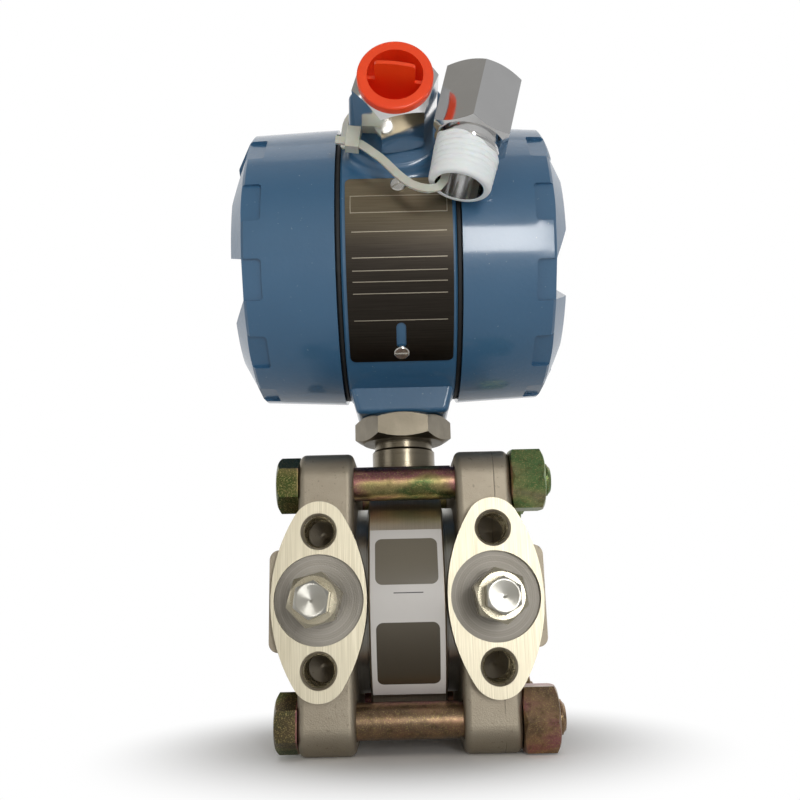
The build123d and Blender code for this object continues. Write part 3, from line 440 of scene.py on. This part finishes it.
def circuit_laminate():
    """Green laminate with lighter copper runs under the varnish."""
    f = Finish("circuit_laminate", rough=0.35, Coat_Weight=0.3)
    cells = f.add("ShaderNodeTexVoronoi", distance="MANHATTAN", feature="DISTANCE_TO_EDGE")
    f.feed(cells.inputs["Vector"], f.vector(0.0, f.y, f.z))
    cells.inputs["Scale"].default_value = 260
    runs = f.without(f.rise(cells.outputs["Distance"], 0.1, 0.04))
    color = f.mix(f.times(runs, 0.6), rgb(18, 78, 44), rgb(74, 138, 88))
    return f.wear(color, height=runs, depth=0.04 * MM, strength=0.6)


def black_moulding():
    """Black glass-filled moulding."""
    f = Finish("black_moulding", rough=0.48)
    color = f.mix(f.noise(500, 3), rgb(24, 24, 25), rgb(38, 38, 39))
    return f.wear(color, height=f.noise(1800, 3), depth=0.05 * MM, strength=0.5)


def terminal_brass():
    """Plated brass terminal screws."""
    f = Finish("terminal_brass", metal=1.0, rough=0.28)
    color = f.mix(f.noise(300, 3), rgb(206, 172, 96), rgb(228, 200, 130))
    return f.wear(color, height=f.noise(2500, 2), depth=0.03 * MM, strength=0.5)


def white_gasket():
    """White fluoropolymer ring."""
    f = Finish("white_gasket", rough=0.5)
    color = f.mix(f.noise(300, 2), rgb(222, 222, 216), rgb(238, 238, 234))
    return f.wear(color, height=f.noise(1800, 2), depth=0.03 * MM, strength=0.4)


def ground_steel():
    """Ground steel of the cell, diaphragms and valve balls."""
    f = Finish("ground_steel", metal=1.0, rough=0.25)
    color = f.mix(f.noise(200, 3), rgb(180, 180, 180), rgb(214, 214, 214))
    return f.wear(color, height=f.noise(2200, 2), depth=0.03 * MM, strength=0.5)


FINISHES = {
    blue_enamel: ("housing", "cover_left", "cover_right"),
    flange_steel: ("flange_low", "flange_high"),
    module_steel: ("sensor_module",),
    bright_steel: ("vent_seat_low", "vent_seat_high"),
    stem_steel: ("vent_stem_low", "vent_stem_high"),
    yellow_zinc: ("flange_bolts", "flange_nuts"),
    neck_nut_steel: ("lock_nut",),
    nameplate_painted_reflection: ("nameplate",),
    label_film: ("module_label",),
    mirror_plating: ("conduit_adapter", "loose_adapter"),
    orange_polythene: ("conduit_plug",),
    black_rubber: ("cover_o_ring_left", "cover_o_ring_right"),
    natural_nylon: ("cable_tie",),
    thread_seal_tape: ("thread_tape",),
    screw_steel: ("nameplate_screws", "block_screws", "board_standoffs"),
    circuit_laminate: ("amplifier_board", "calibration_board"),
    black_moulding: ("terminal_block", "sensor_header"),
    terminal_brass: ("terminal_screws",),
    white_gasket: ("gasket_low", "gasket_high"),
    ground_steel: ("sensor_cell", "diaphragm_low", "diaphragm_high",
                   "vent_ball_low", "vent_ball_high"),
}
made = {}
for make, names in FINISHES.items():
    made[make] = make()
    for name in names:
        for place in nodes[name].material_slots:
            place.material = made[make]


# ------------------------------------------------------------- grid surfaces
def grid_piece(name, grids, material, body, closed_along=False):
    """One piece out of grids of points, each a (rows, columns, 3) array.

    Faces join neighbours and run round across the columns, and round along the
    rows too where closed_along says so. Where the rows come towards the viewer
    and the columns run anticlockwise, the faces point away from the middle.
    """
    vertices, faces, count = [], [], 0
    for points in grids:
        rows, columns = points.shape[:2]
        index = np.arange(rows * columns).reshape(rows, columns) + count
        if closed_along:
            index = np.concatenate([index, index[:1]], axis=0)
        index = np.concatenate([index, index[:, :1]], axis=1)
        quads = np.stack([index[:-1, 1:], index[1:, 1:], index[1:, :-1], index[:-1, :-1]], axis=-1)
        vertices.append(points.reshape(-1, 3))
        faces.append(quads.reshape(-1, 4))
        count += rows * columns
    mesh = bpy.data.meshes.new(name)
    mesh.from_pydata(np.concatenate(vertices).tolist(), [], np.concatenate(faces).tolist())
    mesh.polygons.foreach_set("use_smooth", np.ones(len(mesh.polygons), bool))
    mesh.materials.append(material)
    mesh.update()
    piece = bpy.data.objects.new(name, mesh)
    bpy.context.scene.collection.objects.link(piece)
    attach(piece, body)
    return piece


def axes_of(direction):
    """Two unit vectors square to a direction, right-handed with it."""
    along = np.array(direction, float) / np.linalg.norm(direction)
    helper = np.array([0, 0, 1.0]) if abs(along[2]) < 0.9 else np.array([1.0, 0, 0])
    side = np.cross(helper, along)
    side /= np.linalg.norm(side)
    return side, np.cross(along, side), along


def thread(start, direction, length, radius, depth, pitch, inward=False, around=48, per_turn=8):
    """Screw thread as a grid: the radius follows a triangle wave.

    The wave runs along (distance / pitch - angle / full turn), so its crests
    climb one pitch a turn; they are flat over a fifth of the pitch. It fades
    out over the first and last half pitch. An inward thread lines a hole, and
    its faces point to the axis.
    """
    side, up, along = axes_of(direction)
    steps = int(round(length / pitch * per_turn)) + 1
    distance = np.linspace(0, length, steps)[:, None]
    angle = np.linspace(0, 2 * np.pi, around, endpoint=False)[None, :]
    phase = (distance / pitch - angle / (2 * np.pi)) % 1
    wave = np.clip(1.25 - np.abs(phase - 0.5) * 2.5, 0, 1)
    fade = np.clip(np.minimum(distance, length - distance) / (pitch / 2), 0, 1)
    reach = radius + (-1 if inward else 1) * depth * wave * fade
    spot = np.array(start)[None, None, :] + distance[..., None] * along
    ring = np.cos(angle)[..., None] * side + np.sin(angle)[..., None] * up
    points = spot + reach[..., None] * ring
    return points[:, ::-1] if inward else points


UNF = 1.27 * MM              # pitch of 7/16-20, in the tapped holes and on the bolts
NPT_QUARTER = 1.41 * MM      # pitch of 1/4-18 NPT, on the vent seats
NPT_HALF = 1.814 * MM        # pitch of 1/2-14 NPT, on the adapters
BOLT_Y = 30 * MM             # flange bolts, before and behind the middle
BOLT_Z = 36.8 * MM           # and above and below it
BOLT_THREAD_X = 45.3 * MM    # where the bolts' thread shows past the nuts
TAP_START_Y = 42.2 * MM      # first turn in the tapped holes, from the middle
SEAT_THREAD_Y = 47.5 * MM    # first turn on the vent seats, before the middle

taps = [
    thread((x, MIDDLE_Y + side * TAP_START_Y, z), (0, -side, 0), length=15 * MM,
           radius=4.97 * MM, depth=0.5 * MM, pitch=UNF, inward=True)
    for side in (-1, 1) for x in (-PORT_X, PORT_X) for z in (-TAP_Z, TAP_Z)
]
grid_piece("tapped_threads", taps, made[bright_steel], "sensor")

bolt_ends = [
    thread((BOLT_THREAD_X, MIDDLE_Y + y, z), (1, 0, 0), length=1.4 * MM,
           radius=5.22 * MM, depth=0.33 * MM, pitch=UNF)
    for y in (-BOLT_Y, BOLT_Y) for z in (-BOLT_Z, BOLT_Z)
]
grid_piece("bolt_threads", bolt_ends, made[yellow_zinc], "sensor")

seat_threads = [
    thread((x, MIDDLE_Y - SEAT_THREAD_Y, 0), (0, 1, 0), length=6 * MM,
           radius=6.28 * MM, depth=0.5 * MM, pitch=NPT_QUARTER)
    for x in (-PORT_X, PORT_X)
]
grid_piece("vent_seat_threads", seat_threads, made[bright_steel], "sensor")


HANG_MOUTH = np.array([19.3, -21.4, 125.2]) * MM     # end of the loose adapter's thread
HANG_AXIS = np.array([10.6, 1.0, 42.0]) / np.linalg.norm([10.6, 1.0, 42.0])
HANG_BASE = HANG_MOUTH + 15.8 * MM * HANG_AXIS       # foot of its hexagon
THREAD_START = 1.9 * MM                              # from there, below the relief
TAPE_END = 14.6                                      # mm from there, where the tape folds in

bare_turns = thread(HANG_BASE - THREAD_START * HANG_AXIS, -HANG_AXIS, length=7.6 * MM,
                    radius=9.92 * MM, depth=0.45 * MM, pitch=NPT_HALF, around=96, per_turn=12)
grid_piece("loose_adapter_threads", [bare_turns], made[mirror_plating], "housing")


def wound_tape():
    """Tape wound on the thread: its ridges follow the crests below it.

    All in mm: angle t runs round the thread (0 at the rear, a quarter turn at
    +X) and d down from the hexagon. The upper edge slants: d = 2.9 + 2.4 sin t,
    with small waves. The inside radius is 9.93 + a (1 - cos 2 pi p) / 2, where
    p = (d - start of the thread) / pitch - t / full turn, and a falls from 0.5
    to 0 at the mouth. The tape adds 0.2, less 0.05 along its way, and wrinkles.
    At the mouth it folds over a quarter ellipse and round the rim, and its
    inner side runs back up to the edge.
    """
    side, up, along = axes_of(-HANG_AXIS)
    t = np.linspace(0, 2 * np.pi, 144, endpoint=False)[None, :]
    upper = 2.9 + 2.4 * np.sin(t) + 0.16 * np.sin(5 * t + 1) + 0.1 * np.sin(11 * t)
    share = np.linspace(0, 1, 110)[:, None]
    d = upper + share * (TAPE_END - upper)
    phase = (d * MM - THREAD_START) / NPT_HALF - t / (2 * np.pi)
    ridge = 0.5 - 0.5 * np.cos(2 * np.pi * phase)
    fall = np.clip(0.65 - 0.65 * (d - 1.8) / 12.8, 0, 0.5)
    wrinkle = 0.03 * np.sin(9 * t + 4 * d) + 0.02 * np.sin(23 * t - 2.3 * d)
    thick = 0.2 - 0.05 * share + wrinkle * np.sin(np.pi * share)
    base = 9.93 + fall * ridge
    outside = np.stack([base + thick, d + 0 * t], axis=-1)
    bend = np.linspace(0, np.pi / 2, 7)[1:, None]
    end_radius, fold_radius, fold_drop = outside[-1:, :, 0], 8.6, 1.35
    fold = np.stack([fold_radius + (end_radius - fold_radius) * np.cos(bend),
                     TAPE_END + fold_drop * np.sin(bend) + 0 * t], axis=-1)
    rim = [(8.2, 15.95), (7.95, 15.92), (7.88, 15.82), (8.3, 15.81),
           (8.75, 15.8), (9.3, 15.25), (9.91, TAPE_END)]
    rim = np.array(rim)[:, None, :] + 0 * t[..., None]
    inside = np.stack([base[::-1], (d + 0 * t)[::-1]], axis=-1)
    profile = np.concatenate([outside, fold, rim, inside[1:]]) * MM
    ring = np.cos(t)[..., None] * side + np.sin(t)[..., None] * up
    return HANG_BASE + profile[..., 1:] * along + profile[..., :1] * ring


tape = grid_piece("wound_tape", [wound_tape()], made[thread_seal_tape],
                  "housing", closed_along=True)
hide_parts("thread_tape")


# ---------------------------------------------------------- camera and light
def soft_box(name, place, target, size, watts):
    """Rectangular area light that faces a target."""
    data = bpy.data.lights.new(name, "AREA")
    data.shape = "RECTANGLE"
    data.size, data.size_y = size
    data.energy = watts
    light = bpy.data.objects.new(name, data)
    light.location = place
    light.rotation_euler = (Vector(target) - Vector(place)).to_track_quat("-Z", "Y").to_euler()
    bpy.context.scene.collection.objects.link(light)


middle = (0, MIDDLE_Y, 65 * MM)
soft_box("window_light", (0.25, -1.0, 0.06), middle, size=(0.15, 0.5), watts=4.0)
soft_box("ceiling_light", (0.0, 0.05, 1.25), middle, size=(1.0, 0.5), watts=1.2)
soft_box("side_light", (-1.05, -0.55, -0.02), middle, size=(0.5, 0.9), watts=1.6)


def floor_and_world():
    """Pale floor that keeps the shadow, a grey room, and plain white behind.

    The room is bright and warm in front of the object, mid grey beside and
    above it, and white behind it, where mirrors see that as well. The floor
    keeps its shadow near the object and is plain white to the camera further
    away.
    """
    half = 1.6               # half the floor's width
    shadow_reach = 75 * MM   # from the middle, where the floor turns plain white
    height = cad_box[0][2]
    corners = [(x * half, y * half, height) for x, y in ((-1, -1), (1, -1), (1, 1), (-1, 1))]
    mesh = bpy.data.meshes.new("floor")
    mesh.from_pydata(corners, [], [(0, 1, 2, 3)])
    floor = bpy.data.objects.new("floor", mesh)
    bpy.context.scene.collection.objects.link(floor)
    f = Finish("pale_floor", rough=0.9)
    f.wear(f.mix(f.noise(3, 2), rgb(250, 250, 250), rgb(253, 253, 253)))
    away = f.rise(f.radius(f.x, f.calc("SUBTRACT", f.y, MIDDLE_Y)), shadow_reach, 70 * MM)
    sight = f.tree.nodes.new("ShaderNodeLightPath")
    plain = f.tree.nodes.new("ShaderNodeEmission")
    blend = f.tree.nodes.new("ShaderNodeMixShader")
    f.feed(blend.inputs[0], f.times(away, sight.outputs["Is Camera Ray"]))
    f.feed(blend.inputs[1], f.shader.outputs[0])
    f.feed(blend.inputs[2], plain.outputs[0])
    f.feed(f.tree.nodes["Material Output"].inputs["Surface"], blend.outputs[0])
    mesh.materials.append(f.material)

    world = bpy.data.worlds.new("studio")
    bpy.context.scene.world = world
    world.use_nodes = True
    g = Graph(world.node_tree, "Generated")
    front = g.rise(g.times(g.y, -1.0), 0.82, 0.36)
    behind = g.rise(g.y, 0.35, 0.3)
    room = g.mix(g.rise(g.x, 0.0, 1.2), (0.27, 0.26, 0.24, 1), (0.40, 0.40, 0.40, 1))
    room = g.mix(g.rise(g.z, 0.85, 0.3), room, (0.46, 0.46, 0.46, 1))
    room = g.mix(front, room, (0.60, 0.575, 0.52, 1))
    room = g.mix(behind, room, (0.62, 0.62, 0.62, 1))
    path = g.tree.nodes.new("ShaderNodeLightPath")
    mirrored = g.calc("MAXIMUM", path.outputs["Is Glossy Ray"], path.outputs["Is Transmission Ray"])
    white = g.calc("MAXIMUM", path.outputs["Is Camera Ray"], g.times(mirrored, behind))
    g.feed(g.tree.nodes["Background"].inputs["Color"], g.mix(white, room, (1, 1, 1, 1)))


floor_and_world()


def set_camera():
    """Close camera a little below the vents, looking up, rolled slightly."""
    pitch, roll = math.radians(13.39), math.radians(-1.35)
    image_width, focal_width, sensor = 800, 847.04, 36
    place = (-0.81 * MM, -264.56 * MM, -1.06 * MM)
    ahead = Vector((0, math.cos(pitch), math.sin(pitch)))
    right = Vector((1, 0, 0))
    up = right.cross(ahead)
    right_rolled = right * math.cos(roll) + up * math.sin(roll)
    up_rolled = up * math.cos(roll) - right * math.sin(roll)
    turn = Matrix((right_rolled, up_rolled, -ahead)).transposed()
    data = bpy.data.cameras.new("camera")
    data.sensor_width = sensor
    data.lens = focal_width / image_width * sensor
    data.clip_start = 0.01
    camera = bpy.data.objects.new("camera", data)
    camera.matrix_world = Matrix.Translation(place) @ turn.to_4x4()
    bpy.context.scene.collection.objects.link(camera)
    bpy.context.scene.camera = camera


set_camera()
bpy.context.scene.view_settings.view_transform = "Standard"
